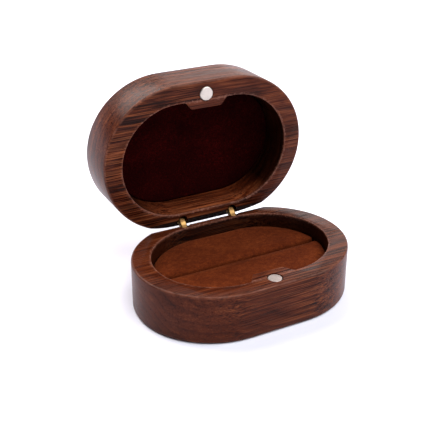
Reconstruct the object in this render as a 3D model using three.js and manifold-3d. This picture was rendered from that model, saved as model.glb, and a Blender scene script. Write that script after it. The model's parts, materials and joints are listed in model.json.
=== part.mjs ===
// Stadium-shaped wooden ring box, shown open.
// Millimetres, +Z up, origin at the centre of the base's underside, ring slot and hinges along X.
// The lid turns on two miniature barrel hinges, each with a link between two pins.
import * as THREE from 'three';
import Module from 'manifold-3d';

const wasm = await Module();
wasm.setup();
const { Manifold, Mesh } = wasm;

// ---- driving dimensions ----
const LENGTH = 80;            // overall length, X
const WIDTH = 55.4;           // overall width, Y
const END_R = 29;             // length of each half-oval end, along X
const BASE_H = 18.3;          // base height up to the parting plane
const LID_H = 18.2;           // lid height above the parting plane
const RIM_GAP = 0.15;         // each rim stands back this far from the parting plane
const EDGE_R = 1.1;           // rounding of the outer edges
const INNER_EDGE = 0.35;      // small break on the cavity's edge
const BEVEL_RIM = 3.6;        // rear bevel, same on base and lid: its width across the rim
const BEVEL_SIDE = 3;         // and its height on the rear face
const OPEN = 91;              // opening angle of the lid, degrees

const BASE_WALL_END = 7.1;
const BASE_WALL_FRONT = 5.95;
const BASE_WALL_REAR = 5.4;
const BASE_CAV_END_R = 24.1;
const BASE_FLOOR = 3;
const LID_WALL_END = 6.95;
const LID_WALL_FRONT = 7.0;
const LID_WALL_REAR = 6.05;
const LID_CAV_END_R = 21.8;
const LID_CAV_TOP = 14.7;     // top of the lid's pocket above the parting plane

const TAB_REACH = 9.7;        // magnet tab, from the front face to its inner edge
const TAB_TIP = 5.4;            // half width of the tab at its inner edge
const TAB_ROOT = 9;           // half width of the tab where it leaves the wall
const MAGNET_R = 2.5;
const MAGNET_T = 2;
const MAGNET_INSET = 4.7;     // magnet centre from the front face
const MAGNET_POCKET_R = 2.7;
const BASE_MAGNET_SINK = 0.2; // below the base's rim
const LID_MAGNET_PROUD = 0.25;  // out of the lid's rim

const HINGE_X = 10.35;        // each hinge from the middle
const HINGE_INSET = 2.9;      // hinge axis from the rear face
const PIVOT = 2.2;            // each pin from the parting plane
const BARREL_R = 2;
const BARREL_L = 10;          // from the parting plane to the barrel's buried end
const BARREL_HOLE_R = 2.1;
const BARREL_HOLE_L = 10.2;
const SLOT_W = 2.6;
const SLOT_L = 3.9;
const LINK_T = 2.4;
const LINK_R = 1.2;
const LINK_EDGE = 0.4;
const LINK_BORE_R = 0.55;
const PIN_R = 0.5;
const PIN_HOLE_R = 0.52;
const PIN_L = 3.8;

const FIT_GAP = 0.2;          // between pieces that lie against each other
const BOARD_T = 1;
const BOARD_INSET = 0.3;      // each card is cut this much smaller than what it backs
const CUSHION_GAP = 0.25;     // cushion to wall
const CUSHION_TOP = 13.5;
const CUSHION_EDGE = 1;
const COVER_T = 0.6;
const FOAM_EDGE = 0.4;
const RING_SLOT_FRONT = 0.7;  // rear edge of the front cushion
const RING_SLOT_REAR = 1.7;   // front edge of the rear cushion
const LINING_GAP = 0.3;
const LINING_DEPTH = 12.5;    // velvet surface above the parting plane
const LINING_T = 0.8;

const HALF_L = LENGTH / 2;
const HALF_W = WIDTH / 2;
const HINGE_Y = HALF_W - HINGE_INSET;

// ---- materials ----
const walnut = new THREE.MeshStandardMaterial({ color: 0x5a3526, roughness: 0.6 });
const suede = new THREE.MeshStandardMaterial({ color: 0x7a3a1c, roughness: 0.95 });
const foam = new THREE.MeshStandardMaterial({ color: 0xb8a68c, roughness: 1 });
const card = new THREE.MeshStandardMaterial({ color: 0x8a7a68, roughness: 0.9 });
const velvet = new THREE.MeshStandardMaterial({ color: 0x40080c, roughness: 1 });
const nickel = new THREE.MeshStandardMaterial({ color: 0xc8c6c2, metalness: 1, roughness: 0.25 });
const brass = new THREE.MeshStandardMaterial({ color: 0xc9a25a, metalness: 1, roughness: 0.3 });
const steel = new THREE.MeshStandardMaterial({ color: 0x9a9a9c, metalness: 1, roughness: 0.3 });

// ---- geometry helpers ----
function toManifold(geometry) {
  const indexed = geometry.index ? geometry : null;
  const source = geometry.attributes.position;
  const lookup = new Map();
  const verts = [];
  const tris = [];
  const count = indexed ? indexed.index.count : source.count;
  for (let i = 0; i < count; i++) {
    const k = indexed ? indexed.index.getX(i) : i;
    const p = [source.getX(k), source.getY(k), source.getZ(k)];
    const key = p.map((v) => Math.round(v * 1e5)).join(',');
    if (!lookup.has(key)) {
      lookup.set(key, verts.length / 3);
      verts.push(...p);
    }
    tris.push(lookup.get(key));
  }
  const clean = [];
  for (let i = 0; i < tris.length; i += 3) {
    const [a, b, c] = tris.slice(i, i + 3);
    if (a !== b && b !== c && a !== c) clean.push(a, b, c);
  }
  return new Manifold(new Mesh({
    numProp: 3,
    vertProperties: new Float32Array(verts),
    triVerts: new Uint32Array(clean),
  }));
}

function toGeometry(solid) {
  const mesh = solid.getMesh();
  const n = mesh.numProp;
  const total = mesh.vertProperties.length / n;
  const pos = new Float32Array(total * 3);
  for (let i = 0; i < total; i++) {
    pos[3 * i] = mesh.vertProperties[n * i];
    pos[3 * i + 1] = mesh.vertProperties[n * i + 1];
    pos[3 * i + 2] = mesh.vertProperties[n * i + 2];
  }
  const geometry = new THREE.BufferGeometry();
  geometry.setAttribute('position', new THREE.BufferAttribute(pos, 3));
  geometry.setIndex(new THREE.BufferAttribute(new Uint32Array(mesh.triVerts), 1));
  return geometry;
}

const subtract = (a, ...rest) => rest.reduce((s, b) => s.subtract(b), a);
const add = (a, ...rest) => rest.reduce((s, b) => s.add(b), a);

// Counter-clockwise outline: half-oval ends joined by straight sides. front and rear are y values.
function stadium(halfLength, front, rear, endR, steps = 22) {
  const cy = (front + rear) / 2;
  const ry = (rear - front) / 2;
  const cx = halfLength - endR;
  const pts = [];
  for (let side = 0; side < 2; side++) {
    const sign = side === 0 ? 1 : -1;
    for (let i = 0; i <= 2 * steps; i++) {
      const t = -Math.PI / 2 + (Math.PI * i) / (2 * steps);
      pts.push([sign * (cx + endR * Math.cos(t)), cy + sign * ry * Math.sin(t)]);
    }
  }
  return pts;
}

// Solid through a stack of outlines that have the same number of points. levels: [{ z, pts }]
function loft(levels) {
  const n = levels[0].pts.length;
  const pos = [];
  const index = [];
  for (const { z, pts } of levels) {
    for (const [x, y] of pts) pos.push(x, y, z);
  }
  for (let k = 0; k + 1 < levels.length; k++) {
    for (let i = 0; i < n; i++) {
      const a = k * n + i;
      const b = k * n + ((i + 1) % n);
      index.push(a, b, b + n, a, b + n, a + n);
    }
  }
  const last = (levels.length - 1) * n;
  const flat = levels[0].pts.map(([x, y]) => new THREE.Vector2(x, y));
  for (const [a, b, c] of THREE.ShapeUtils.triangulateShape(flat, [])) {
    index.push(a, c, b);
    index.push(last + a, last + b, last + c);
  }
  const geometry = new THREE.BufferGeometry();
  geometry.setAttribute('position', new THREE.Float32BufferAttribute(pos, 3));
  geometry.setIndex(index);
  return toManifold(geometry);
}

// Insets and heights of a rounded edge of radius r: from (r, 0) round to (0, r).
function quarterRound(r, steps = 4) {
  const out = [];
  for (let i = 0; i <= steps; i++) {
    const t = (Math.PI / 2) * (i / steps);
    out.push([r * (1 - Math.sin(t)), r * (1 - Math.cos(t))]);
  }
  return out;
}

function prism(points, z0, z1) {
  const shape = new THREE.Shape(points.map(([x, y]) => new THREE.Vector2(x, y)));
  const geometry = new THREE.ExtrudeGeometry(shape, { depth: z1 - z0, bevelEnabled: false });
  geometry.translate(0, 0, z0);
  return toManifold(geometry);
}

function box(x0, x1, y0, y1, z0, z1) {
  const geometry = new THREE.BoxGeometry(x1 - x0, y1 - y0, z1 - z0);
  geometry.translate((x0 + x1) / 2, (y0 + y1) / 2, (z0 + z1) / 2);
  return toManifold(geometry);
}

function discZ(x, y, r, z0, z1, segments = 40) {
  const geometry = new THREE.CylinderGeometry(r, r, z1 - z0, segments);
  geometry.rotateX(Math.PI / 2);
  geometry.translate(x, y, (z0 + z1) / 2);
  return toManifold(geometry);
}

// Upright rod with a ball end, whose centre is at z = ballZ.
function domedRod(x, y, r, z0, ballZ) {
  const profile = [new THREE.Vector2(0, z0), new THREE.Vector2(r, z0)];
  const steps = 9;
  for (let i = 0; i <= steps; i++) {
    const a = (i / steps) * (Math.PI / 2);
    profile.push(new THREE.Vector2(i < steps ? r * Math.cos(a) : 0, ballZ + r * Math.sin(a)));
  }
  const turned = new THREE.LatheGeometry(profile, 36);
  turned.rotateX(Math.PI / 2);
  return toManifold(turned).translate([x, y, 0]);
}

function rodX(x, y, z, r, length, segments = 32) {
  const geometry = new THREE.CylinderGeometry(r, r, length, segments);
  geometry.rotateZ(Math.PI / 2);
  geometry.translate(x, y, z);
  return toManifold(geometry);
}

// Prism along X from a profile in the (y, z) plane.
function profileX(points, x0, x1) {
  const shape = new THREE.Shape(points.map(([y, z]) => new THREE.Vector2(y, z)));
  const geometry = new THREE.ExtrudeGeometry(shape, { depth: x1 - x0, bevelEnabled: false });
  geometry.applyMatrix4(new THREE.Matrix4().set(0, 0, 1, x0, 1, 0, 0, 0, 0, 1, 0, 0, 0, 0, 0, 1));
  return toManifold(geometry);
}

function flipZ(solid, plane) {
  const geometry = toGeometry(solid);
  geometry.scale(1, 1, -1);
  geometry.translate(0, 0, 2 * plane);
  const idx = geometry.index;
  for (let i = 0; i < idx.count; i += 3) {
    const t = idx.getX(i);
    idx.setX(i, idx.getX(i + 1));
    idx.setX(i + 1, t);
  }
  return toManifold(geometry);
}

function mesh(name, solid, material, matrix = null) {
  const geometry = toGeometry(solid);
  if (matrix) geometry.applyMatrix4(matrix);
  geometry.computeVertexNormals();
  const m = new THREE.Mesh(geometry, material);
  m.name = name;
  return m;
}

// ---- motion of the hinges, from the closed shape to the open pose ----
const half = THREE.MathUtils.degToRad(OPEN / 2);

function turnAbout(y, z, angle) {
  return new THREE.Matrix4().makeTranslation(0, y, z)
    .multiply(new THREE.Matrix4().makeRotationX(angle))
    .multiply(new THREE.Matrix4().makeTranslation(0, -y, -z));
}

const LINK_OPEN = turnAbout(HINGE_Y, BASE_H - PIVOT, -half);
const LID_OPEN = LINK_OPEN.clone().multiply(turnAbout(HINGE_Y, BASE_H + PIVOT, -half));

// ---- wooden halves, built closed ----
// A rounded block from the parting plane down to z = 0, height h. The lid is the same block turned over.
function roundedBlock(height) {
  const levels = [];
  const at = (inset) => stadium(HALF_L - inset, -HALF_W + inset, HALF_W - inset, END_R - inset);
  for (const [inset, dz] of quarterRound(EDGE_R)) levels.push({ z: dz, pts: at(inset) });
  for (const [inset, dz] of quarterRound(0.7, 3).reverse()) levels.push({ z: height - dz, pts: at(inset) });
  return loft(levels);
}

// Plan of the magnet tab, with S-curved shoulders, on a wall of the given thickness, grown outward by grow.
function tabOutline(grow, wallFront) {
  const root = TAB_ROOT + grow;
  const tip = TAB_TIP + grow;
  const wall = -HALF_W + wallFront - 0.4;
  const reach = -HALF_W + TAB_REACH + grow;
  const pts = [[-root, wall - 2], [root, wall - 2]];
  const steps = 9;
  for (let i = 0; i <= 2 * steps + 1; i++) {
    const right = i <= steps;
    const t = right ? i / steps : (2 * steps + 1 - i) / steps;
    const x = root - (root - tip) * t;
    pts.push([right ? x : -x, wall + (reach - wall) * t * t * (3 - 2 * t)]);
  }
  return pts;
}

function cavity(wallEnd, wallFront, wallRear, endR, floor, rim) {
  const at = (inset) => stadium(HALF_L - wallEnd - inset, -HALF_W + wallFront + inset,
    HALF_W - wallRear - inset, endR - inset);
  const levels = [];
  levels.push({ z: floor, pts: at(0.5) });
  levels.push({ z: floor + 0.5, pts: at(0) });
  levels.push({ z: rim - INNER_EDGE, pts: at(0) });
  levels.push({ z: rim - 0.3 * INNER_EDGE, pts: at(-0.3 * INNER_EDGE) });
  levels.push({ z: rim, pts: at(-INNER_EDGE) });
  levels.push({ z: rim + 1, pts: at(-INNER_EDGE) });
  return loft(levels).subtract(prism(tabOutline(0, wallFront), floor - 1, rim + 2));
}

// Rear bevel, barrel holes and magnet pocket shared by both halves, for a rim at z = rim facing up.
function rimCuts(rim, plane, magnetDepth) {
  const cuts = [];
  const y = HALF_W - BEVEL_RIM;
  const drop = ((BEVEL_RIM + 3) * BEVEL_SIDE) / BEVEL_RIM;
  cuts.push(profileX([[y, plane], [HALF_W + 3, plane - drop], [HALF_W + 3, plane + 3],
    [y, plane + 3]], -HALF_L, HALF_L));
  for (const side of [-1, 1]) {
    cuts.push(discZ(side * HINGE_X, HINGE_Y, BARREL_HOLE_R, plane - BARREL_HOLE_L, plane + 1));
  }
  cuts.push(discZ(0, -HALF_W + MAGNET_INSET, MAGNET_POCKET_R, rim - magnetDepth, rim + 1));
  return cuts;
}

function baseBody() {
  const rim = BASE_H - RIM_GAP;
  const hollow = cavity(BASE_WALL_END, BASE_WALL_FRONT, BASE_WALL_REAR, BASE_CAV_END_R, BASE_FLOOR, rim);
  const cuts = rimCuts(rim, BASE_H, BASE_MAGNET_SINK + MAGNET_T + FIT_GAP);
  return mesh('base_body', subtract(roundedBlock(rim), hollow, ...cuts), walnut);
}

function lidBody() {
  const rim = LID_H - RIM_GAP;
  const floor = LID_H - LID_CAV_TOP;
  const hollow = cavity(LID_WALL_END, LID_WALL_FRONT, LID_WALL_REAR, LID_CAV_END_R, floor, rim);
  const cuts = rimCuts(rim, LID_H, MAGNET_T - LID_MAGNET_PROUD + FIT_GAP);
  const upturned = subtract(roundedBlock(rim), hollow, ...cuts);
  const closed = flipZ(upturned, (BASE_H + LID_H) / 2);
  return mesh('lid_body', closed, walnut, LID_OPEN);
}

// ---- magnets ----
function magnetDisc(z0) {
  const r = MAGNET_R;
  const profile = [[0, 0], [r - 0.2, 0], [r, 0.2], [r, MAGNET_T - 0.2], [r - 0.2, MAGNET_T], [0, MAGNET_T]];
  const geometry = new THREE.LatheGeometry(profile.map(([x, y]) => new THREE.Vector2(x, y)), 40);
  geometry.rotateX(Math.PI / 2);
  geometry.translate(0, -HALF_W + MAGNET_INSET, z0);
  return toManifold(geometry);
}

function baseMagnet() {
  return mesh('base_magnet', magnetDisc(BASE_H - RIM_GAP - BASE_MAGNET_SINK - MAGNET_T), nickel);
}

function lidMagnet() {
  return mesh('lid_magnet', magnetDisc(BASE_H + RIM_GAP - LID_MAGNET_PROUD), nickel, LID_OPEN);
}

// ---- insert: card, two foam blocks and their suede covers ----
// Plan of one cushion, inset by e. which is 'front' or 'rear' of the ring slot.
function cushionPlan(which, e) {
  const gap = CUSHION_GAP + e;
  const ring = stadium(HALF_L - BASE_WALL_END - gap, -HALF_W + BASE_WALL_FRONT + gap,
    HALF_W - BASE_WALL_REAR - gap, BASE_CAV_END_R - gap);
  const front = which === 'front';
  const limit = front ? RING_SLOT_FRONT - e : RING_SLOT_REAR + e;
  const kept = ring.filter(([, y]) => (front ? y <= limit : y >= limit));
  const cx = HALF_L - BASE_WALL_END - BASE_CAV_END_R;
  const rx = BASE_CAV_END_R - gap;
  const ry = (WIDTH - BASE_WALL_FRONT - BASE_WALL_REAR) / 2 - gap;
  const cy = (BASE_WALL_FRONT - BASE_WALL_REAR) / 2;
  const reach = cx + rx * Math.sqrt(1 - ((limit - cy) / ry) ** 2);
  const first = front ? -reach : reach;
  const start = kept.findIndex(([x, y], i) => {
    const [before] = kept[(i + kept.length - 1) % kept.length];
    return Math.abs(y - limit) < 8 && x * first > 0 && before * first < 0;
  });
  const turned = start < 0 ? kept : [...kept.slice(start), ...kept.slice(0, start)];
  return [[first, limit], ...turned, [-first, limit]];
}

function cushionLoft(which, inset, z0, z1, edge) {
  const levels = [{ z: z0, pts: cushionPlan(which, inset) }];
  const count = levels[0].pts.length;
  for (const [e, dz] of quarterRound(edge).reverse()) {
    const pts = cushionPlan(which, inset + e);
    levels.push({ z: z1 - dz, pts: resample(pts, count) });
  }
  levels[0].pts = resample(levels[0].pts, count);
  return loft(levels);
}

// The same number of points along every outline, spread evenly from its first corner to its last.
function resample(pts, count) {
  const lengths = [0];
  for (let i = 1; i < pts.length; i++) {
    lengths.push(lengths[i - 1] + Math.hypot(pts[i][0] - pts[i - 1][0], pts[i][1] - pts[i - 1][1]));
  }
  const total = lengths[lengths.length - 1];
  const out = [];
  for (let i = 0, k = 0; i < count; i++) {
    const s = (total * i) / (count - 1);
    while (k < pts.length - 2 && lengths[k + 1] < s) k++;
    const f = (s - lengths[k]) / (lengths[k + 1] - lengths[k]);
    out.push([pts[k][0] + f * (pts[k + 1][0] - pts[k][0]), pts[k][1] + f * (pts[k + 1][1] - pts[k][1])]);
  }
  return out;
}

const CUSHION_Z = BASE_FLOOR + BOARD_T + 2 * FIT_GAP;

function cushionFoam(which) {
  const inset = COVER_T + FIT_GAP;
  const block = cushionLoft(which, inset, CUSHION_Z, CUSHION_TOP - inset, FOAM_EDGE);
  const notch = prism(tabOutline(CUSHION_GAP + inset, BASE_WALL_FRONT), 0, 20);
  return mesh(which + '_cushion_foam', which === 'front' ? block.subtract(notch) : block, foam);
}

function cushionCover(which) {
  const outer = cushionLoft(which, 0, CUSHION_Z, CUSHION_TOP, CUSHION_EDGE);
  const inner = cushionLoft(which, COVER_T, CUSHION_Z - 1, CUSHION_TOP - COVER_T, CUSHION_EDGE - COVER_T);
  if (which === 'rear') return mesh('rear_cushion_cover', outer.subtract(inner), suede);
  const notchOut = prism(tabOutline(CUSHION_GAP, BASE_WALL_FRONT), 0, 20);
  const notchIn = prism(tabOutline(CUSHION_GAP + COVER_T, BASE_WALL_FRONT), 0, 20);
  const hollow = inner.subtract(notchIn);
  return mesh('front_cushion_cover', subtract(outer, notchOut, hollow), suede);
}

function insertBoard() {
  const z0 = BASE_FLOOR + FIT_GAP;
  const gap = CUSHION_GAP + BOARD_INSET;
  const ring = stadium(HALF_L - BASE_WALL_END - gap, -HALF_W + BASE_WALL_FRONT + gap,
    HALF_W - BASE_WALL_REAR - gap, BASE_CAV_END_R - gap);
  const notch = prism(tabOutline(CUSHION_GAP + BOARD_INSET, BASE_WALL_FRONT), 0, 20);
  return mesh('insert_board', prism(ring, z0, z0 + BOARD_T).subtract(notch), card);
}

// ---- lid lining: velvet on a card ----
function lidSheet(name, gap, z0, z1, material) {
  const ring = stadium(HALF_L - LID_WALL_END - gap, -HALF_W + LID_WALL_FRONT + gap,
    HALF_W - LID_WALL_REAR - gap, LID_CAV_END_R - gap);
  const notch = prism(tabOutline(gap, LID_WALL_FRONT), 0, 60);
  const sheet = prism(ring, BASE_H + z0, BASE_H + z1).subtract(notch);
  return mesh(name, sheet, material, LID_OPEN);
}

// ---- barrel hinges ----
function barrel(x, plane) {
  const pivotZ = plane - PIVOT;
  const body = domedRod(x, HINGE_Y, BARREL_R, plane - BARREL_L, pivotZ);
  const slot = box(x - SLOT_W / 2, x + SLOT_W / 2, HINGE_Y - 3, HINGE_Y + 3, plane - SLOT_L, plane + 1);
  const hole = rodX(x, HINGE_Y, pivotZ, PIN_HOLE_R, 6);
  return subtract(body, slot, hole);
}

// Outline of the link in Y and Z about its two pins, inset by e.
function linkOutline(e) {
  const r = LINK_R - e;
  const half = 16;
  const pts = [];
  for (const [z, from] of [[BASE_H + PIVOT, 0], [BASE_H - PIVOT, Math.PI]]) {
    for (let i = 0; i <= half; i++) {
      const a = from + (i / half) * Math.PI;
      pts.push([r * Math.cos(a), z + r * Math.sin(a)]);
    }
  }
  return pts;
}

function link(x) {
  const levels = [];
  for (const side of [-1, 1]) {
    for (const [e, dx] of quarterRound(LINK_EDGE)) {
      levels.push({ z: side * (LINK_T / 2 - dx), pts: linkOutline(e) });
    }
  }
  levels.sort((a, b) => a.z - b.z);
  const body = loft(levels).rotate([90, 0, 90]).translate([x, HINGE_Y, 0]);
  const bores = [BASE_H - PIVOT, BASE_H + PIVOT].map((z) => rodX(x, HINGE_Y, z, LINK_BORE_R, 4));
  return subtract(body, ...bores);
}

function hinge(side, x) {
  const group = new THREE.Group();
  group.name = side + '_hinge';
  const lidBarrel = flipZ(barrel(x, BASE_H), BASE_H);
  group.add(mesh(side + '_base_barrel', barrel(x, BASE_H), brass));
  group.add(mesh(side + '_lid_barrel', lidBarrel, brass, LID_OPEN));
  group.add(mesh(side + '_link', link(x), brass, LINK_OPEN));
  group.add(mesh(side + '_base_pin', rodX(x, HINGE_Y, BASE_H - PIVOT, PIN_R, PIN_L), steel));
  group.add(mesh(side + '_lid_pin', rodX(x, HINGE_Y, BASE_H + PIVOT, PIN_R, PIN_L), steel, LID_OPEN));
  return group;
}

// ---- assembly ----
function group(name, ...children) {
  const g = new THREE.Group();
  g.name = name;
  g.add(...children);
  return g;
}

const insert = group('insert', insertBoard(), cushionFoam('rear'), cushionCover('rear'),
  cushionFoam('front'), cushionCover('front'));
const base = group('base', baseBody(), baseMagnet(), insert);
const lining = group('lining',
  lidSheet('lid_lining', LINING_GAP, LINING_DEPTH, LINING_DEPTH + LINING_T, velvet),
  lidSheet('lid_lining_board', LINING_GAP + BOARD_INSET, LINING_DEPTH + LINING_T + FIT_GAP,
    LINING_DEPTH + LINING_T + FIT_GAP + BOARD_T, card));
const lid = group('lid', lidBody(), lidMagnet(), lining);
const ringBox = group('ring_box', base, lid, hinge('left', -HINGE_X), hinge('right', HINGE_X));

export default ringBox;
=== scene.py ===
import json
import math
from collections import namedtuple

import bmesh
import bpy
from mathutils import Matrix, Vector, noise


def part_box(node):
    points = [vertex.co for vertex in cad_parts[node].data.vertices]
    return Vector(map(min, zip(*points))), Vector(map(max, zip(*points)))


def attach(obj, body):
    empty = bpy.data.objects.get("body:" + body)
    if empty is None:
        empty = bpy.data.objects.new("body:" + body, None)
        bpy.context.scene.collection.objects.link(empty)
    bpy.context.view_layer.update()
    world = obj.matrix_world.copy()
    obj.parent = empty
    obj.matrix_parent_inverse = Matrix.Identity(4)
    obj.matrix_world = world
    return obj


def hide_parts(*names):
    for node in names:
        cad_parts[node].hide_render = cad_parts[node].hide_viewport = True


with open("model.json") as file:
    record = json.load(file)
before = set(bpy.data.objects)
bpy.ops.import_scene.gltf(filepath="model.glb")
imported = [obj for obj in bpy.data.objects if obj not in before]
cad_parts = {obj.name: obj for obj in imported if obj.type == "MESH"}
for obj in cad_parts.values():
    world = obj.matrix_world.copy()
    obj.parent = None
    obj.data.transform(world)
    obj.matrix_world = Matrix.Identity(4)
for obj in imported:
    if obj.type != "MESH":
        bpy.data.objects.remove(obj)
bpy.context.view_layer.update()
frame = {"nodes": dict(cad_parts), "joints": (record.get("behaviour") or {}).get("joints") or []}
scene = bpy.context.scene
scene.view_settings.view_transform = "Standard"
scene.view_settings.look = "None"

MM = 0.001

# ---- the wood of the shut box, in millimetres ----
# A plan has straight long sides at y = front and y = rear, and half-oval ends that reach end_depth inwards.
Plan = namedtuple("Plan", "half_length end_depth front rear")
base_low, base_high = (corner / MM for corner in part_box("base_body"))
OUTER_PLAN = Plan(base_high.x, 29.0, base_low.y, base_high.y)
RIM_GAP = 0.15  # from the parting plane to either rim
LID_HEIGHT = 18.2  # above the parting plane
PARTING_Z = base_high.z + RIM_GAP
LID_TOP_Z = PARTING_Z + LID_HEIGHT
BEVEL_RIM = 3.6  # the rear bevel's width across the rim
BEVEL_SIDE = 3.0  # and its height on the rear face
CAVITY_REACH = 16.5  # deeper than both cavities, and short of the outer faces


def inside_walls(end_wall, front_wall, rear_wall, end_depth):
    """The plan of a cavity with these walls round it."""
    return Plan(OUTER_PLAN.half_length - end_wall, end_depth,
                OUTER_PLAN.front + front_wall, OUTER_PLAN.rear - rear_wall)


BASE_CAVITY = inside_walls(end_wall=7.1, front_wall=5.95, rear_wall=5.4, end_depth=24.1)
LID_CAVITY = inside_walls(end_wall=6.95, front_wall=7.0, rear_wall=6.05, end_depth=21.8)

# ---- soft pieces, in metres at SOFT_SCALE times their size ----
# They are worked enlarged because the remesh and the cloth are made for larger things.
SOFT_SCALE = 10
CUSHION_VOXEL = 0.0055
CUSHION_SWELL = 0.0066
CUSHION_ROUNDING = 2  # rounds of smoothing
LINING_VOXEL = 0.0036
LINING_ROUNDING = 6
LINING_THICKNESS = 0.008
LINING_UNEVENNESS = 0.0016
LUMPS_PER_METRE = 9.0
AIR_PRESSURE = 4.0
AIR_FRAMES = 20
AIR_TRAVEL = 0.003  # the furthest that the air moves a point

WELD_DISTANCE = 1e-6
CREASE_DEGREES = 32


# ---- the lid's turn from the shut box to the open pose ----
def lid_from_shut():
    """Matrix that carries a point of the shut lid to where the lid is at rest."""
    pos = {j["name"]: Vector(j["pos_m"]) for j in frame["joints"]}
    span = {j["name"]: math.radians(j["range_deg"][1]) for j in frame["joints"]}

    def about(p, angle):
        return Matrix.Translation(p) @ Matrix.Rotation(angle, 4, "X") @ Matrix.Translation(-p)

    lower = about(pos["base_left_link"], -span["base_left_link"])
    upper = about(pos["left_link_lid"], -span["left_link_lid"])
    return upper @ lower


LID = lid_from_shut()


# ---- node material helpers ----
class Shader:
    """A material under construction. Most methods add a node and return its output, and each of their
    arguments is a number, a tuple or another node's output."""

    def __init__(self, name):
        self.mat = bpy.data.materials.new(name)
        self.mat.use_nodes = True
        self.tree = self.mat.node_tree
        self.tree.nodes.clear()
        self.bsdf = self.node("ShaderNodeBsdfPrincipled")
        self.node("ShaderNodeOutputMaterial", {"Surface": self.bsdf.outputs[0]})

    def feed(self, socket, value):
        """Links an output to a socket, or sets the socket's own value."""
        if isinstance(value, bpy.types.NodeSocket):
            self.tree.links.new(value, socket)
        elif socket.type == "RGBA":
            socket.default_value = (*value, 1)
        else:
            socket.default_value = value

    def node(self, kind, inputs=None, **props):
        n = self.tree.nodes.new(kind)
        for key, value in props.items():
            setattr(n, key, value)
        for key, value in (inputs or {}).items():
            self.feed(n.inputs[key], value)
        return n

    def surface(self, socket, value):
        """Gives the Principled shader a colour, a number or an output."""
        self.feed(self.bsdf.inputs[socket], value)

    def math(self, op, a, b=0.0, clamp=False):
        return self.node("ShaderNodeMath", {0: a, 1: b}, operation=op, use_clamp=clamp).outputs[0]

    def add(self, a, b):
        return self.math("ADD", a, b)

    def sub(self, a, b):
        return self.math("SUBTRACT", a, b)

    def mul(self, a, b):
        return self.math("MULTIPLY", a, b)

    def div(self, a, b):
        return self.math("DIVIDE", a, b)

    def larger(self, a, b):
        return self.math("MAXIMUM", a, b)

    def size(self, a):
        return self.math("ABSOLUTE", a)

    def above(self, a, b):
        """1 where a is more than b, and 0 elsewhere."""
        return self.math("GREATER_THAN", a, b)

    def below(self, a, b):
        """1 where a is less than b, and 0 elsewhere."""
        return self.math("LESS_THAN", a, b)

    def clamped_sum(self, a, b):
        return self.math("ADD", a, b, True)

    def hypotenuse(self, a, b):
        return self.math("SQRT", self.add(self.mul(a, a), self.mul(b, b)))

    def about_zero(self, a, gain):
        """A noise, which lies about 0.5, as a change of tone."""
        return self.mul(self.sub(a, 0.5), gain)

    def near(self, value, target, width):
        """1 where value is at target, falling to 0 at width from it."""
        gap = self.size(self.sub(value, target))
        return self.math("SUBTRACT", 1.0, self.div(gap, width), True)

    def vector_math(self, op, a, b=(0, 0, 0)):
        return self.node("ShaderNodeVectorMath", {0: a, 1: b}, operation=op)

    def stretched(self, vector, scale):
        return self.vector_math("MULTIPLY", vector, scale).outputs[0]

    def parts(self, vector):
        return self.node("ShaderNodeSeparateXYZ", {0: vector}).outputs

    def noise(self, vector, scale=1.0, detail=2.0, rough=0.5, distort=0.0):
        n = self.node("ShaderNodeTexNoise", {"Vector": vector, "Scale": scale, "Detail": detail,
                                             "Roughness": rough, "Distortion": distort})
        return n.outputs["Fac"]

    def long_noise(self, vector, scale, detail=2.0, rough=0.5, distort=0.0):
        """A noise with its own scale along each axis."""
        return self.noise(self.stretched(vector, scale), 1.0, detail, rough, distort)

    def ramp(self, fac, stops, ease="LINEAR"):
        n = self.node("ShaderNodeValToRGB", {"Fac": fac})
        n.color_ramp.interpolation = ease
        while len(n.color_ramp.elements) < len(stops):
            n.color_ramp.elements.new(0.5)
        for element, (at, colour) in zip(n.color_ramp.elements, stops):
            element.position = at
            element.color = (*colour, 1) if isinstance(colour, tuple) else (colour, colour, colour, 1)
        return n.outputs["Color"]

    def mix(self, fac, a, b, mode="MIX"):
        n = self.node("ShaderNodeMix", data_type="RGBA", blend_type=mode)
        for socket, value in ((n.inputs[0], fac), (n.inputs[6], a), (n.inputs[7], b)):
            self.feed(socket, value)
        return n.outputs[2]

    def bump(self, height, strength, distance):
        n = self.node("ShaderNodeBump", {"Height": height, "Strength": strength, "Distance": distance})
        self.surface("Normal", n.outputs[0])

    def millimetres(self, matrix=None):
        """Object coordinates in millimetres, after an optional rigid turn."""
        v = self.node("ShaderNodeTexCoord").outputs["Object"]
        if matrix is not None:
            v = self.node("ShaderNodeMapping", {"Vector": v, "Location": matrix.to_translation(),
                                                "Rotation": matrix.to_euler()}).outputs[0]
        return self.stretched(v, (1 / MM,) * 3)

    def facing_x(self):
        """1 where the surface faces along x, which is the grain, and 0 where it lies along x."""
        return self.size(self.parts(self.node("ShaderNodeTexCoord").outputs["Normal"])[0])


# ---- walnut ----
# Scales of the noises, in cycles per millimetre along x, which is the grain, and across it.
WANDER = (0.011, 0.03, 0.03)
RIPPLE = (0.045, 0.12, 0.12)
BAND = (0.012, 0.16, 0.16)
STREAK = (0.022, 1.35, 1.35)
FIBRE = (0.05, 3.4, 3.4)
PATCH = (0.02, 0.05, 0.05)
LAYER = (0.012, 0.035, 0.62)
PORE = (0.13, 3.6, 3.6)
CROWD = (0.03, 0.3, 0.3)

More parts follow.
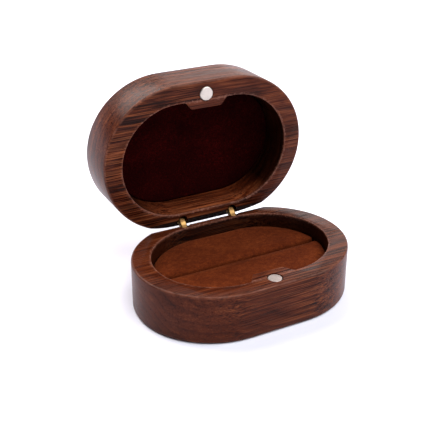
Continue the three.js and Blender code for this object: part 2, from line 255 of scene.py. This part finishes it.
RINGS_PER_MM = 0.31
RING_TONES = [(0.0, 0.44), (0.1, 0.66), (0.62, 0.54), (0.9, 0.12), (1.0, 0.44)]
END_GRAIN = [(0.15, 1.0), (0.5, 0.5), (0.95, 0.14)]
WALNUT_TONES = [(0.16, (0.0110, 0.0021, 0.0010)), (0.38, (0.040, 0.0070, 0.0022)),
                (0.56, (0.072, 0.0138, 0.0042)), (0.88, (0.185, 0.0520, 0.0185))]
STREAK_COLOUR = (0.0130, 0.0030, 0.0014)
PORE_COLOUR = (0.0085, 0.0020, 0.0011)
# half the span along y of the painted shade and painted light on the cavity walls, in mm
WALL_PAINTED_SHADING_HALF = 28.0
# near-black painted shade laid over the rear bevel
BEVEL_PAINTED_SHADE = (0.006, 0.0014, 0.0009)
# the light colour of edge wear, and also of the painted highlight along the edges
WORN_AND_HIGHLIGHT_COLOUR = (0.250, 0.112, 0.080)


def growth_rings(s, p, pith):
    """The tone of wavy rings about a line along x through the point pith, which is (y, z)."""
    _, y, z = s.parts(p)
    radius = s.hypotenuse(s.sub(y, pith[0]), s.sub(z, pith[1]))
    wander = s.mul(s.long_noise(p, WANDER, 2.0, 0.5), 26.0)
    ripple = s.mul(s.long_noise(p, RIPPLE, 3.0, 0.55), 2.4)
    radius = s.add(radius, s.add(wander, ripple))
    return s.ramp(s.math("FRACT", s.mul(radius, RINGS_PER_MM)), RING_TONES, "EASE")


def wood_figure(s, p, x, pith, figure, layers, fade):
    """The bare wood's colour, and the fibres, pores and streaks that also shape its surface. Figure is
    the strength of the streaks, fade how fast they weaken along x, and layers the strength of the sheets
    that show as contour lines on the sides."""
    along = s.ramp(s.facing_x(), END_GRAIN)
    streak = s.long_noise(p, STREAK, 3.0, 0.65, 0.1)
    fibre = s.long_noise(p, FIBRE, 3.0, 0.6, 0.1)
    patch = s.sub(s.long_noise(p, PATCH, 1.0), s.mul(x, fade))
    strength = s.mul(s.ramp(patch, [(0.40, 0.18), (0.62, 1.0)]), 1.3)

    fine = s.mul(s.mul(s.sub(fibre, 0.5), along), s.add(s.mul(strength, 0.5), 0.45))
    soft = s.mul(s.about_zero(streak, 1.5 * figure), s.add(s.mul(along, 0.88), 0.12))
    tone = s.about_zero(growth_rings(s, p, pith), 0.16 * figure)
    tone = s.add(tone, s.about_zero(s.long_noise(p, BAND, 3.0, 0.6), 0.45))
    tone = s.add(tone, s.add(s.mul(fine, 1.3 * figure), s.mul(soft, strength)))
    tone = s.add(tone, s.about_zero(s.long_noise(p, LAYER, 4.0, 0.6), layers))
    colour = s.ramp(s.add(tone, 0.5), WALNUT_TONES)

    dark = s.mul(s.ramp(streak, [(0.54, 0.0), (0.64, 1.0)]), along)
    dark = s.mul(s.mul(dark, strength), 0.35 * figure)
    colour = s.mix(dark, colour, STREAK_COLOUR)
    crowd = s.about_zero(s.long_noise(p, CROWD, 2.0), 0.35)
    pores = s.add(s.long_noise(p, PORE, 2.0, 0.5, 0.2), crowd)
    pore = s.mul(s.ramp(pores, [(0.57, 0.0), (0.66, 1.0)]), along)
    return s.mix(s.mul(pore, 0.7), colour, PORE_COLOUR), fine, pore, streak


def outside(s, x, y, plan):
    """Roughly the distance in mm outside a plan, and less than 0 inside it."""
    half_width = (plan.rear - plan.front) / 2
    past = s.larger(s.sub(s.size(x), plan.half_length - plan.end_depth), 0.0)
    u = s.div(past, plan.end_depth)
    v = s.div(s.sub(y, (plan.rear + plan.front) / 2), half_width)
    return s.mul(s.sub(s.hypotenuse(u, v), 1.0), half_width)


def worn_and_highlit_edges(s, here, z, depth, outer, inner):
    """How far each edge is painted light, as wear and as a painted highlight along it: the outer edges and
    the cavity's edge, and a few worn chips along the cavity's edge.
    """
    rim_edge = s.mul(s.mul(s.near(outer, -0.25, 0.6), s.near(depth, 0.2, 1.0)), 0.55)
    ends = s.larger(s.near(z, 0.1, 0.9), s.near(z, LID_TOP_Z - 0.1, 0.9))
    outer_edge = s.larger(rim_edge, s.mul(s.near(outer, -0.2, 0.5), s.mul(ends, 0.6)))
    inner_edge = s.mul(s.mul(s.near(inner, 0.1, 0.5), s.near(depth, 0.2, 0.8)), 0.65)
    rub = s.ramp(s.noise(here, 0.35, 4.0, 0.7), [(0.36, 0.25), (0.62, 1.0)])
    chips = s.ramp(s.noise(here, 1.1, 3.0, 0.65), [(0.53, 0.0), (0.58, 1.0)])
    chips = s.mul(s.mul(s.near(inner, 0.1, 0.9), s.near(depth, 0.2, 1.1)), chips)
    return s.larger(s.mul(s.larger(outer_edge, inner_edge), rub), chips)


def cavity_wall(s, depth, inner):
    """1 inside the cavity, a little below the rim, and 0 elsewhere."""
    deep = s.mul(s.above(depth, 0.5), s.below(depth, CAVITY_REACH))
    return s.mul(deep, s.below(inner, 1.5))


def rear_bevel(s, y, depth):
    """1 on the rear bevel and 0 elsewhere. It takes in all that lies beyond a plane a little under the
    bevel's face, so that the whole face is in it."""
    past = s.sub(y, s.mul(depth, BEVEL_RIM / BEVEL_SIDE))
    past = s.above(past, OUTER_PLAN.rear - BEVEL_RIM - 0.25)
    return s.mul(past, s.below(depth, BEVEL_SIDE - 0.03))


def walnut(name, to_shut, shift, pith, figure, layers, fade, cavity, wall_painted_shading):
    """Oiled walnut with the grain along x, worked in the frame of the shut box: to_shut carries a point of
    the piece there, and shift moves the pattern. The last argument is the painted shade on the cavity's
    wall, and on the lid also painted light on the wall's rear part: a factor on the wood's colour along y,
    from a set half span in front of the middle to as far behind it."""
    s = Shader(name)
    here = s.millimetres(to_shut)
    x, y, z = s.parts(here)
    depth = s.size(s.sub(z, PARTING_Z))
    outer = outside(s, x, y, OUTER_PLAN)
    inner = outside(s, x, y, cavity)
    p = s.vector_math("ADD", here, shift).outputs[0]
    colour, fine, pore, streak = wood_figure(s, p, x, pith, figure, layers, fade)

    # Painted shade on the cavity's wall, and on the lid painted light on the wall's rear part: the wood's
    # colour times a ramp along y, times 1.5.
    rearwards = s.div(s.add(y, WALL_PAINTED_SHADING_HALF), 2 * WALL_PAINTED_SHADING_HALF)
    painted_wall = s.mix(1.0, colour, s.mul(s.ramp(rearwards, wall_painted_shading), 1.5), "MULTIPLY")
    colour = s.mix(cavity_wall(s, depth, inner), colour, painted_wall)
    bevel = rear_bevel(s, y, depth)
    # painted shade: the rear bevel is mixed most of the way to near black
    colour = s.mix(s.mul(bevel, 0.8), colour, BEVEL_PAINTED_SHADE)
    edge_lightening = worn_and_highlit_edges(s, here, z, depth, outer, inner)
    # the edges are painted lighter: wear, and a painted highlight along the outer and cavity edges
    s.surface("Base Color", s.mix(s.mul(edge_lightening, 0.75), colour, WORN_AND_HIGHLIGHT_COLOUR))

    rough = s.add(s.mul(fine, 0.5), s.add(s.mul(pore, 0.22), s.mul(streak, 0.3)))
    s.surface("Roughness", s.clamped_sum(s.add(rough, s.mul(bevel, 0.6)), 0.17))
    s.surface("Specular IOR Level", 0.09)
    s.bump(s.sub(s.mul(fine, 0.5), s.mul(pore, 0.8)), 0.4, 0.12 * MM)
    return s.mat


# ---- fabrics ----
# the height of least painted shade on the velvet, and the x past which painted shade darkens it, in mm
VELVET_PAINTED_SHADE_LEAST_Z = 44.0
VELVET_PAINTED_SHADE_PAST_X = 10.0


def cloth_finish(s, roughness, specular, sheen, sheen_roughness, sheen_tint):
    s.surface("Roughness", roughness)
    s.surface("Specular IOR Level", specular)
    s.surface("Sheen Weight", sheen)
    s.surface("Sheen Roughness", sheen_roughness)
    s.surface("Sheen Tint", sheen_tint)


def suede(name):
    """Brushed brown suede: a short nap with soft light and dark patches where it lies differently."""
    s = Shader(name)
    p = s.millimetres()
    fluff = s.noise(p, 3.0, 4.0, 0.7)
    clump = s.long_noise(p, (0.8, 1.1, 1.0), 3.0, 0.6, 0.4)
    nap = s.long_noise(p, (0.07, 0.13, 0.1), 2.0, 0.5, 0.6)
    tone = s.add(s.about_zero(fluff, 1.1), s.about_zero(clump, 0.7))
    tone = s.add(s.add(tone, s.about_zero(nap, 0.5)), 0.5)
    colour = s.ramp(tone, [(0.2, (0.036, 0.0052, 0.0011)), (0.5, (0.077, 0.0130, 0.0027)),
                           (0.8, (0.140, 0.0290, 0.0065))])
    s.surface("Base Color", colour)
    cloth_finish(s, 0.95, 0.06, 0.06, 0.4, (0.8, 0.30, 0.12))
    s.bump(s.add(s.mul(fluff, 0.7), s.mul(clump, 0.6)), 0.6, 0.12 * MM)
    return s.mat


def velvet(name):
    """Dark red velvet: deep pile, nearly black head-on, with brushed patches. Painted shade leaves it
    lightest at about the middle height of the open lid, and darkens it above and below that and towards its
    right end."""
    s = Shader(name)
    p = s.millimetres()
    pile = s.noise(p, 3.2, 3.0, 0.7)
    tuft = s.noise(p, 1.3, 3.0, 0.6)
    brushed = s.long_noise(p, (0.06, 0.06, 0.09), 2.0, 0.5, 0.4)
    tone = s.add(s.about_zero(pile, 1.4), s.about_zero(brushed, 0.7))
    tone = s.add(s.add(tone, s.about_zero(tuft, 0.9)), 0.5)
    x, _, z = s.parts(p)
    # painted shade: darker away from the middle height and towards the right end
    tone = s.sub(tone, s.mul(s.size(s.sub(z, VELVET_PAINTED_SHADE_LEAST_Z)), 0.0075))
    tone = s.sub(tone, s.mul(s.larger(s.sub(x, VELVET_PAINTED_SHADE_PAST_X), 0.0), 0.012))
    colour = s.ramp(tone, [(0.15, (0.0070, 0.0003, 0.0004)), (0.5, (0.0165, 0.0007, 0.0007)),
                           (0.85, (0.048, 0.0020, 0.0019))])
    s.surface("Base Color", colour)
    cloth_finish(s, 0.97, 0.02, 0.03, 0.35, (0.6, 0.03, 0.03))
    s.bump(s.add(pile, s.mul(tuft, 0.8)), 0.6, 0.15 * MM)
    return s.mat


# ---- metals and card ----
# the brown of the painted shade on the hinge links
PAINTED_BRASS_SHADE = (0.050, 0.022, 0.008)


def painted_shade_on_brass(s, p, unshaded_point):
    """How much painted shade turns brass brown: none round the line along x through the given point, and
    more away from it and on faces that face along x.
    """
    away = s.vector_math("SUBTRACT", p, unshaded_point).outputs[0]
    away = s.vector_math("LENGTH", s.stretched(away, (0, 1, 1))).outputs["Value"]
    far = s.ramp(s.mul(away, 0.25), [(0.17, 0.0), (0.37, 0.9)])
    return s.larger(far, s.ramp(s.facing_x(), [(0.35, 0.0), (0.8, 0.8)]))


def metal(name, colour, rough, marks_scale, dulling, unshaded_point=None):
    """Polished or plated metal with fine turning marks and a slight, patchy dulling. If the last argument
    gives a point in mm, only the metal round it keeps its colour, and painted shade turns the rest and the
    side faces brown."""
    s = Shader(name)
    p = s.millimetres()
    marks = s.long_noise(p, marks_scale, 3.0, 0.6)
    patch = s.noise(p, 0.55, 3.0, 0.6)
    dull = tuple(c * dulling for c in colour)
    tint = s.mix(s.ramp(patch, [(0.35, 0.0), (0.75, 1.0)]), colour, dull)
    if unshaded_point is not None:
        # painted shade: brown away from the given point and on the side faces
        tint = s.mix(painted_shade_on_brass(s, p, unshaded_point), tint, PAINTED_BRASS_SHADE)
    s.surface("Base Color", tint)
    s.surface("Metallic", 1.0)
    spread = s.add(s.mul(marks, 0.16), s.mul(patch, 0.1))
    s.surface("Roughness", s.clamped_sum(spread, rough - 0.13))
    s.bump(marks, 0.12, 0.04 * MM)
    return s.mat


def card(name):
    """Grey-brown card with loose paper fibres."""
    s = Shader(name)
    fibre = s.long_noise(s.millimetres(), (1.4, 3.0, 1.4), 4.0, 0.7, 0.6)
    s.surface("Base Color", s.ramp(fibre, [(0.35, (0.20, 0.16, 0.12)), (0.7, (0.34, 0.29, 0.23))]))
    s.surface("Roughness", 0.9)
    s.bump(fibre, 0.3, 0.05 * MM)
    return s.mat


def paint(obj, mat):
    obj.data.materials.clear()
    obj.data.materials.append(mat)


# ---- CAD nodes that keep their shape ----
def finish_node(name, mat):
    """Gives a CAD node its material and smooth shading that stays crisp at real edges."""
    obj = frame["nodes"][name]
    paint(obj, mat)
    for poly in obj.data.polygons:
        poly.use_smooth = True
    weld = obj.modifiers.new("weld", "WELD")
    weld.merge_threshold = WELD_DISTANCE
    split = obj.modifiers.new("edges", "EDGE_SPLIT")
    split.split_angle = math.radians(CREASE_DEGREES)


# ---- soft pieces ----
def enlarged_copy(node, name):
    """A new object with a CAD node's mesh, its corners joined, enlarged about the origin."""
    bm = bmesh.new()
    bm.from_mesh(frame["nodes"][node].data)
    bmesh.ops.remove_doubles(bm, verts=bm.verts, dist=WELD_DISTANCE)
    bmesh.ops.scale(bm, vec=(SOFT_SCALE,) * 3, verts=bm.verts)
    mesh = bpy.data.meshes.new(name)
    bm.to_mesh(mesh)
    bm.free()
    obj = bpy.data.objects.new(name, mesh)
    scene.collection.objects.link(obj)
    return obj


def bake(obj):
    """Replaces an object's mesh by what its modifiers make of it."""
    evaluated = obj.evaluated_get(bpy.context.evaluated_depsgraph_get())
    mesh = bpy.data.meshes.new_from_object(evaluated)
    obj.modifiers.clear()
    old = obj.data
    obj.data = mesh
    bpy.data.meshes.remove(old)


def apply_modifier(obj, kind, **props):
    mod = obj.modifiers.new(kind.lower(), kind)
    for key, value in props.items():
        setattr(mod, key, value)
    bake(obj)


def remesh(obj, voxel):
    apply_modifier(obj, "REMESH", mode="VOXEL", voxel_size=voxel)


def swell(obj, step):
    """Moves every point outwards along its normal."""
    apply_modifier(obj, "DISPLACE", mid_level=0.0, strength=step)


def round_off(obj, rounds):
    apply_modifier(obj, "SMOOTH", factor=0.5, iterations=rounds)


def inflate(obj, held):
    """Cloth simulation under air pressure, with the held points fixed and each other point's travel
    capped, applied to the mesh."""
    start = [v.co.copy() for v in obj.data.vertices]
    pins = obj.vertex_groups.new(name="held")
    pins.add([v.index for v in obj.data.vertices if held(v)], 1.0, "REPLACE")
    cloth = obj.modifiers.new("cloth", "CLOTH")
    cloth.settings.vertex_group_mass = "held"
    cloth.settings.use_pressure = True
    cloth.settings.uniform_pressure_force = AIR_PRESSURE
    cloth.settings.effector_weights.gravity = 0
    cloth.point_cache.frame_start = 1
    cloth.point_cache.frame_end = AIR_FRAMES
    for f in range(1, AIR_FRAMES + 1):
        scene.frame_set(f)
    evaluated = obj.evaluated_get(bpy.context.evaluated_depsgraph_get())
    moved = [v.co.copy() for v in evaluated.data.vertices]
    obj.modifiers.clear()
    obj.vertex_groups.clear()
    scene.frame_set(1)
    for v, a, b in zip(obj.data.vertices, start, moved):
        step = b - a
        if step.length > AIR_TRAVEL:
            step *= AIR_TRAVEL / step.length
        v.co = a + step


def finish_soft(obj, mat, levels):
    """Brings a soft piece back to its real size, and smooths and paints it."""
    obj.data.transform(Matrix.Scale(1 / SOFT_SCALE, 4))
    paint(obj, mat)
    for poly in obj.data.polygons:
        poly.use_smooth = True
    if levels:
        sub = obj.modifiers.new("subdivision", "SUBSURF")
        sub.levels = levels
        sub.render_levels = levels


def cushion(which, mat):
    """A suede cushion: swollen from its foam to fill its cover's place, with a taut top."""
    name = which + "_cushion"
    obj = enlarged_copy(name + "_foam", name)
    bottom = min(v.co.z for v in obj.data.vertices)
    remesh(obj, CUSHION_VOXEL)
    swell(obj, CUSHION_SWELL)
    for v in obj.data.vertices:
        v.co.z = max(v.co.z, bottom)
    round_off(obj, CUSHION_ROUNDING)
    top = max(v.co.z for v in obj.data.vertices)
    inflate(obj, lambda v: v.co.z < top - AIR_TRAVEL)
    finish_soft(obj, mat, levels=1)
    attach(obj, "base")
    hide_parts(name + "_cover", name + "_foam")


def lining(mat):
    """The velvet on the lid's card, with a soft rolled edge and a slight unevenness."""
    obj = enlarged_copy("lid_lining", "velvet_lining")
    remesh(obj, LINING_VOXEL)
    round_off(obj, LINING_ROUNDING)
    out = (LID.to_3x3() @ Vector((0, 0, -1))).normalized()
    back = min(v.co.dot(out) for v in obj.data.vertices)
    for v in obj.data.vertices:
        lift = min(1.0, max(0.0, (v.co.dot(out) - back) / LINING_THICKNESS))
        v.co += out * (lift * LINING_UNEVENNESS * noise.noise(v.co * LUMPS_PER_METRE))
    finish_soft(obj, mat, levels=0)
    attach(obj, "lid")
    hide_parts("lid_lining")


# ---- the box ----
# Scales of the marks on metal, in cycles per millimetre.
ALONG_X = (0.4, 6, 6)
FINE_ALONG_X = (0.5, 8, 8)
ACROSS_FACE = (5, 5, 0.5)


def wooden_halves():
    # The last ramp of each half is painted shade on its cavity wall; the lid's ramp also paints light on
    # the wall's rear part.
    base_wood = walnut("walnut_base", None, shift=(0, 0, 0), pith=(14.0, -62.0), figure=1.3, layers=0.3,
                       fade=0.0, cavity=BASE_CAVITY, wall_painted_shading=[(0.0, 0.16), (1.0, 0.22)])
    lid_wood = walnut("walnut_lid", LID.inverted(), shift=(37, 5, 11), pith=(-9.0, -30.0), figure=1.8,
                      layers=1.0, fade=0.010, cavity=LID_CAVITY, wall_painted_shading=[(0.79, 0.12), (0.91, 1.0)])
    finish_node("base_body", base_wood)
    finish_node("lid_body", lid_wood)


def magnets():
    nickel = metal("nickel_plate", (0.56, 0.505, 0.455), 0.43, ACROSS_FACE, 0.88)
    # a darker copy of the nickel plate for the base magnet: painted shade
    nickel_with_painted_shade = metal("nickel_plate_painted_shade", (0.44, 0.385, 0.365), 0.46, ACROSS_FACE, 0.82)
    finish_node("base_magnet", nickel_with_painted_shade)
    finish_node("lid_magnet", nickel)


def hinges():
    pins = [Vector(j["pos_m"]) for j in frame["joints"] if j["name"] in ("base_left_link", "left_link_lid")]
    link_middle = (pins[0] + pins[1]) / 2 / MM
    brass = metal("brass", (0.37, 0.20, 0.062), 0.42, ALONG_X, 0.5)
    # the links carry painted shade away from their middle
    link_brass = metal("link_brass", (0.60, 0.37, 0.135), 0.40, ALONG_X, 0.6, link_middle)
    steel = metal("steel", (0.62, 0.62, 0.63), 0.3, FINE_ALONG_X, 0.85)
    for side in ("left", "right"):
        finish_node(f"{side}_link", link_brass)
        for part in ("base_barrel", "lid_barrel"):
            finish_node(f"{side}_{part}", brass)
        for part in ("base_pin", "lid_pin"):
            finish_node(f"{side}_{part}", steel)


def padding():
    board = card("card")
    leather = suede("suede")
    for flat in ("insert_board", "lid_lining_board"):
        finish_node(flat, board)
    cushion("rear", leather)
    cushion("front", leather)
    lining(velvet("velvet"))


# ---- floor, light and camera ----
FLOOR_FLAT = 4.0  # half the width of the flat middle, in metres
FLOOR_EDGE = 60.0
FLOOR_RISE = 6.0
WORLD_STRENGTH = 0.08

# Name, direction towards the lamp, strength, angle across in degrees, and colour.
LAMPS = (
    ("low_back", (0.62, 0.72, 0.43), 0.75, 36, (1.0, 0.92, 0.89)),
    ("back", (-0.16, 0.84, 1.0), 4.2, 50, (1.0, 0.94, 0.90)),
    ("top", (0.1, -0.42, 1.0), 2.4, 50, (1.0, 1.0, 1.0)),
    ("right", (0.8, -0.5, 0.85), 1.9, 45, (1.0, 1.0, 1.0)),
)

CAMERA_DEGREES = (-27.77, 26.94, 0.15)  # azimuth from the front, elevation and roll
CAMERA_DISTANCE = 288.64 * MM
CAMERA_TARGET = Vector((-10.54, 0.0, 33.54)) * MM
SENSOR_WIDTH = 36.0
LENS = 70.9418


def floor():
    """A flat floor that far off rises gently, so that the horizon stays out of low views."""
    corners = ((-1, -1), (1, -1), (1, 1), (-1, 1))
    points = [(x * FLOOR_FLAT, y * FLOOR_FLAT, 0) for x, y in corners]
    points += [(x * FLOOR_EDGE, y * FLOOR_EDGE, FLOOR_RISE) for x, y in corners]
    rise = [(i + 4, (i + 1) % 4 + 4, (i + 1) % 4, i) for i in range(4)]
    mesh = bpy.data.meshes.new("floor")
    mesh.from_pydata(points, [], [(0, 1, 2, 3)] + rise)
    obj = bpy.data.objects.new("floor", mesh)
    scene.collection.objects.link(obj)
    obj.location.z = -0.1 * MM
    s = Shader("floor_white")
    grain = s.noise(s.millimetres(), 0.02, 2.0)
    s.surface("Base Color", s.ramp(grain, [(0.3, (0.745, 0.755, 0.85)), (0.7, (0.765, 0.775, 0.87))]))
    s.surface("Roughness", 0.9)
    s.surface("Specular IOR Level", 0.1)
    paint(obj, s.mat)


def lights():
    world = bpy.data.worlds.new("studio")
    scene.world = world
    world.use_nodes = True
    background = world.node_tree.nodes["Background"]
    background.inputs["Color"].default_value = (1, 0.985, 0.97, 1)
    background.inputs["Strength"].default_value = WORLD_STRENGTH
    for name, towards, strength, degrees, colour in LAMPS:
        light = bpy.data.lights.new(name, "SUN")
        light.color = colour
        light.energy = strength
        light.angle = math.radians(degrees)
        lamp = bpy.data.objects.new(name, light)
        lamp.rotation_mode = "QUATERNION"
        lamp.rotation_quaternion = Vector(towards).to_track_quat("Z", "Y")
        scene.collection.objects.link(lamp)


def camera():
    azimuth, elevation, roll = (math.radians(a) for a in CAMERA_DEGREES)
    back = Vector((math.sin(azimuth) * math.cos(elevation),
                   -math.cos(azimuth) * math.cos(elevation), math.sin(elevation)))
    data = bpy.data.cameras.new("camera")
    data.sensor_width = SENSOR_WIDTH
    data.lens = LENS
    data.clip_start = 0.01
    obj = bpy.data.objects.new("camera", data)
    turn = (-back).to_track_quat("-Z", "Y").to_matrix().to_4x4() @ Matrix.Rotation(roll, 4, "Z")
    obj.matrix_world = Matrix.Translation(CAMERA_TARGET + back * CAMERA_DISTANCE) @ turn
    scene.collection.objects.link(obj)
    scene.camera = obj


wooden_halves()
magnets()
hinges()
padding()
floor()
lights()
camera()
